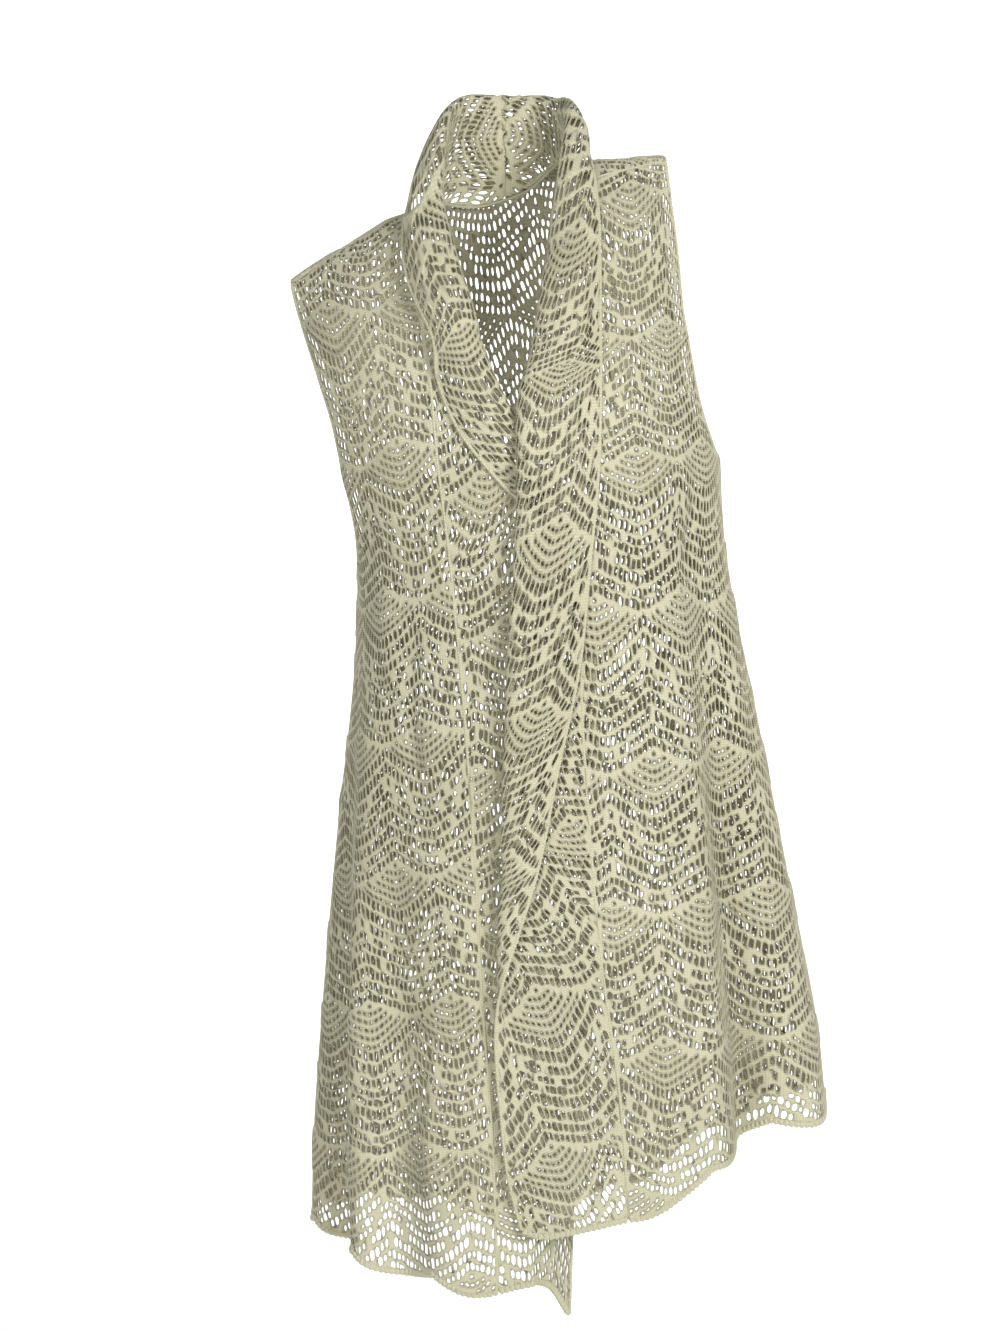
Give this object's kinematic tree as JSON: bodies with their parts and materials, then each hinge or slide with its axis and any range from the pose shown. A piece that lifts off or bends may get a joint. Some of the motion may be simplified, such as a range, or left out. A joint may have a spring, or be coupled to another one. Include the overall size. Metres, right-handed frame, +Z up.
{
  "type": "sleeveless vest",
  "caption": "Long sleeveless openwork-knit vest with an open front, a shawl collar made by the front bands and a wavy hem, in its worn shape.",
  "frame": {"origin": "middle of the base of the neck, where the wearer's shoulders hold the vest up", "axes": "+Z up; the front faces -Y; +X is the wearer's left; the vest leans and tilts in this frame as it does in the picture, its wearer's-left side higher"},
  "size_m": [0.481, 0.3425, 1.0696],
  "materials": {
    "cotton_knit": "matte cotton in a pale sage beige, openwork knit"
  },
  "bodies": {
    "root": {"back": "cotton_knit", "front_right": "cotton_knit", "front_left": "cotton_knit", "band_right": "cotton_knit", "band_left": "cotton_knit"}
  },
  "joints": []
}
